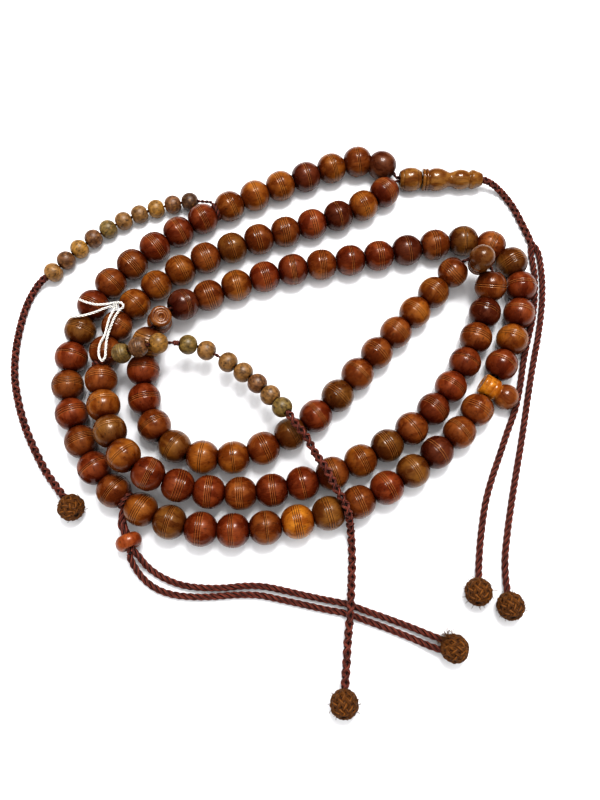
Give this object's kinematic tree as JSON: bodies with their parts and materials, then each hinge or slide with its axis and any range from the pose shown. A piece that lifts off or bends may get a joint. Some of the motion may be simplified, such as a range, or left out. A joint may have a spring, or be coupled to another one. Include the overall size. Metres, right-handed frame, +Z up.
{
  "type": "string of prayer beads",
  "caption": "Looped string of turned wooden prayer beads with marker beads, a turned finial and tassel, two small counter strands and a sliding disc.",
  "frame": {"origin": "middle of the beads' box, on the surface that the string lies on", "axes": "+X along the finial, from its mouth to its tip; +Y across the string, from the hanging cords' side to the finial's side; +Z up"},
  "size_m": [0.2058, 0.2153, 0.0238],
  "materials": {
    "bead_wood": "polished red-brown wood with fine incised rings",
    "counter_wood": "oiled tan wood with dark flecks",
    "finial_wood": "polished light brown wood",
    "cord": "dark maroon twisted silk cord",
    "knot": "rough mustard brown knotted cord",
    "thread": "white cotton thread"
  },
  "bodies": {
    "string": {"beads_set_1_run_1": "bead_wood", "beads_set_1_run_2": "bead_wood", "beads_set_1_run_3": "bead_wood", "beads_set_1_run_4": "bead_wood", "beads_set_1_run_5": "bead_wood", "beads_set_2_run_1": "bead_wood", "beads_set_2_run_2": "bead_wood", "beads_set_2_run_3": "bead_wood", "beads_set_3_run_1": "bead_wood", "beads_set_3_run_2": "bead_wood", "beads_set_3_run_3": "bead_wood", "beads_set_4_run_1": "bead_wood", "beads_set_4_run_2": "bead_wood", "beads_set_4_run_3": "bead_wood", "beads_set_4_run_4": "bead_wood", "beads_set_4_run_5": "bead_wood", "main_cord": "cord", "counter_a_cord": "cord", "counter_b_cord": "cord", "counter_b_tail_top": "cord", "tassel_braid": "cord", "slider_cord": "cord", "tie_thread": "thread"},
    "counter_a_01": {"counter_a_01": "counter_wood"},
    "counter_a_02": {"counter_a_02": "counter_wood"},
    "counter_a_03": {"counter_a_03": "counter_wood"},
    "counter_a_04": {"counter_a_04": "counter_wood"},
    "counter_a_05": {"counter_a_05": "counter_wood"},
    "counter_a_06": {"counter_a_06": "counter_wood"},
    "counter_a_07": {"counter_a_07": "counter_wood"},
    "counter_a_08": {"counter_a_08": "counter_wood"},
    "counter_a_09": {"counter_a_09": "counter_wood"},
    "counter_a_10": {"counter_a_10": "counter_wood"},
    "counter_b_01": {"counter_b_01": "counter_wood"},
    "counter_b_02": {"counter_b_02": "counter_wood"},
    "counter_b_03": {"counter_b_03": "counter_wood"},
    "counter_b_04": {"counter_b_04": "counter_wood"},
    "counter_b_05": {"counter_b_05": "counter_wood"},
    "counter_b_06": {"counter_b_06": "counter_wood"},
    "counter_b_07": {"counter_b_07": "counter_wood"},
    "counter_b_08": {"counter_b_08": "counter_wood"},
    "counter_b_09": {"counter_b_09": "counter_wood"},
    "counter_b_10": {"counter_b_10": "counter_wood"},
    "finial_bead": {"finial_bead": "finial_wood"},
    "finial_body": {"finial_body": "finial_wood"},
    "marker_bead_1": {"marker_bead_1": "bead_wood"},
    "marker_bead_2": {"marker_bead_2": "bead_wood"},
    "marker_bead_3": {"marker_bead_3": "bead_wood"},
    "slider_disc": {"slider_disc": "bead_wood"},
    "counter_a_tail": {"counter_a_tail": "cord", "counter_a_knot": "knot"},
    "counter_b_tail": {"counter_b_tail": "cord", "counter_b_knot": "knot"},
    "tassel_leg_left": {"tassel_leg_left": "cord", "tassel_knot_left": "knot"},
    "tassel_leg_right": {"tassel_leg_right": "cord", "tassel_knot_right": "knot"},
    "slider_legs": {"slider_leg_upper": "cord", "slider_leg_lower": "cord", "slider_knot": "knot"}
  },
  "joints": [
    {"name": "counter_a_01_spin", "type": "hinge", "parent": "string", "child": "counter_a_01", "pos_m": [-0.04015, 0.05765, 0.00384], "axis": [-0.9963, -0.081, -0.0282], "continuous": true},
    {"name": "counter_a_02_spin", "type": "hinge", "parent": "string", "child": "counter_a_02", "pos_m": [-0.04695, 0.05644, 0.00377], "axis": [-0.9655, -0.2604, 0.0051], "continuous": true},
    {"name": "counter_a_03_spin", "type": "hinge", "parent": "string", "child": "counter_a_03", "pos_m": [-0.05359, 0.05439, 0.00379], "axis": [-0.9448, -0.3277, 0.0021], "continuous": true},
    {"name": "counter_a_04_spin", "type": "hinge", "parent": "string", "child": "counter_a_04", "pos_m": [-0.06006, 0.05188, 0.0038], "axis": [-0.9183, -0.396, 0], "continuous": true},
    {"name": "counter_a_05_spin", "type": "hinge", "parent": "string", "child": "counter_a_05", "pos_m": [-0.06628, 0.0488, 0.0038], "axis": [-0.8701, -0.4929, 0], "continuous": true},
    {"name": "counter_a_06_spin", "type": "hinge", "parent": "string", "child": "counter_a_06", "pos_m": [-0.07211, 0.04505, 0.0038], "axis": [-0.8105, -0.5857, 0], "continuous": true},
    {"name": "counter_a_07_spin", "type": "hinge", "parent": "string", "child": "counter_a_07", "pos_m": [-0.07759, 0.04077, 0.0038], "axis": [-0.7653, -0.6436, -0.0005], "continuous": true},
    {"name": "counter_a_08_spin", "type": "hinge", "parent": "string", "child": "counter_a_08", "pos_m": [-0.08274, 0.03611, 0.00379], "axis": [-0.7161, -0.698, -0.001], "continuous": true},
    {"name": "counter_a_09_spin", "type": "hinge", "parent": "string", "child": "counter_a_09", "pos_m": [-0.08743, 0.03101, 0.00387], "axis": [-0.6326, -0.7741, 0.0262], "continuous": true},
    {"name": "counter_a_10_spin", "type": "hinge", "parent": "string", "child": "counter_a_10", "pos_m": [-0.09196, 0.02589, 0.00361], "axis": [-0.7063, -0.6972, -0.1228], "continuous": true},
    {"name": "counter_b_01_spin", "type": "hinge", "parent": "string", "child": "counter_b_01", "pos_m": [-0.05975, -0.01247, 0.01451], "axis": [0.9005, 0.2078, 0.382], "continuous": true},
    {"name": "counter_b_02_spin", "type": "hinge", "parent": "string", "child": "counter_b_02", "pos_m": [-0.05335, -0.01101, 0.01675], "axis": [0.9503, 0.2212, 0.2192], "continuous": true},
    {"name": "counter_b_03_slide", "type": "slide", "parent": "string", "child": "counter_b_03", "axis": [0.9213, 0.2106, -0.327], "range_m": [0, 0.002]},
    {"name": "counter_b_04_spin", "type": "hinge", "parent": "string", "child": "counter_b_04", "pos_m": [-0.03649, -0.008, 0.01172], "axis": [0.9262, -0.0271, -0.3762], "continuous": true},
    {"name": "counter_b_05_slide", "type": "slide", "parent": "string", "child": "counter_b_05", "axis": [0.9116, -0.4028, -0.0823], "range_m": [0, 0.0018]},
    {"name": "counter_b_06_spin", "type": "hinge", "parent": "string", "child": "counter_b_06", "pos_m": [-0.02187, -0.01402, 0.00966], "axis": [0.837, -0.5468, -0.0202], "continuous": true},
    {"name": "counter_b_07_spin", "type": "hinge", "parent": "string", "child": "counter_b_07", "pos_m": [-0.0162, -0.01802, 0.00974], "axis": [0.7929, -0.6076, 0.0453], "continuous": true},
    {"name": "counter_b_08_spin", "type": "hinge", "parent": "string", "child": "counter_b_08", "pos_m": [-0.01096, -0.0225, 0.01041], "axis": [0.7169, -0.6814, 0.1471], "continuous": true},
    {"name": "counter_b_09_spin", "type": "hinge", "parent": "string", "child": "counter_b_09", "pos_m": [-0.00617, -0.02737, 0.01167], "axis": [0.6599, -0.7193, 0.2169], "continuous": true},
    {"name": "counter_b_10_spin", "type": "hinge", "parent": "string", "child": "counter_b_10", "pos_m": [-0.00188, -0.03245, 0.01359], "axis": [0.5773, -0.7447, 0.3348], "continuous": true},
    {"name": "finial_bead_spin", "type": "hinge", "parent": "string", "child": "finial_bead", "pos_m": [0.04501, 0.06764, 0.00475], "axis": [1, 0, 0], "continuous": true},
    {"name": "finial_body_spin", "type": "hinge", "parent": "string", "child": "finial_body", "pos_m": [0.05411, 0.06764, 0.00475], "axis": [1, 0, 0], "continuous": true},
    {"name": "marker_tilt_1", "type": "hinge", "parent": "string", "child": "marker_bead_1", "pos_m": [0.07381, -0.02236, 0.0059], "axis": [0.4983, 0.867, 0], "range_deg": [-60, 0]},
    {"name": "marker_tilt_2", "type": "hinge", "parent": "string", "child": "marker_bead_2", "pos_m": [-0.04719, 0.00284, 0.0116], "axis": [-0.6392, -0.769, 0], "range_deg": [-5, 5]},
    {"name": "marker_tilt_3", "type": "hinge", "parent": "string", "child": "marker_bead_3", "pos_m": [0.07231, 0.02514, 0.0124], "axis": [0.9292, -0.3697, 0], "range_deg": [-8, 30]},
    {"name": "slider_disc_slide", "type": "slide", "parent": "string", "child": "slider_disc", "axis": [0.3911, -0.9203, 0], "range_m": [-0.002, 0.001]},
    {"name": "counter_a_tail_swing", "type": "hinge", "parent": "string", "child": "counter_a_tail", "pos_m": [-0.09639, 0.02224, 0.0032], "axis": [0, 0, 1], "range_deg": [-8, 2]},
    {"name": "counter_b_tail_swing", "type": "hinge", "parent": "string", "child": "counter_b_tail", "pos_m": [0.02241, -0.08336, 0.0015], "axis": [0, 0, 1], "range_deg": [-8, 8]},
    {"name": "tassel_legs_swing", "type": "hinge", "parent": "string", "child": "tassel_leg_left", "pos_m": [0.09651, 0.03584, 0.0015], "axis": [0, 0, 1], "range_deg": [0, 9]},
    {"name": "tassel_leg_right_swing", "type": "hinge", "parent": "tassel_leg_left", "child": "tassel_leg_right", "pos_m": [0.09931, 0.03624, 0.0015], "axis": [0, 0, 1], "range_deg": [0, 9]},
    {"name": "slider_cords_swing", "type": "hinge", "parent": "string", "child": "slider_legs", "pos_m": [-0.05329, -0.08176, 0.0045], "axis": [0, 0, 1], "range_deg": [-1, 2]}
  ]
}
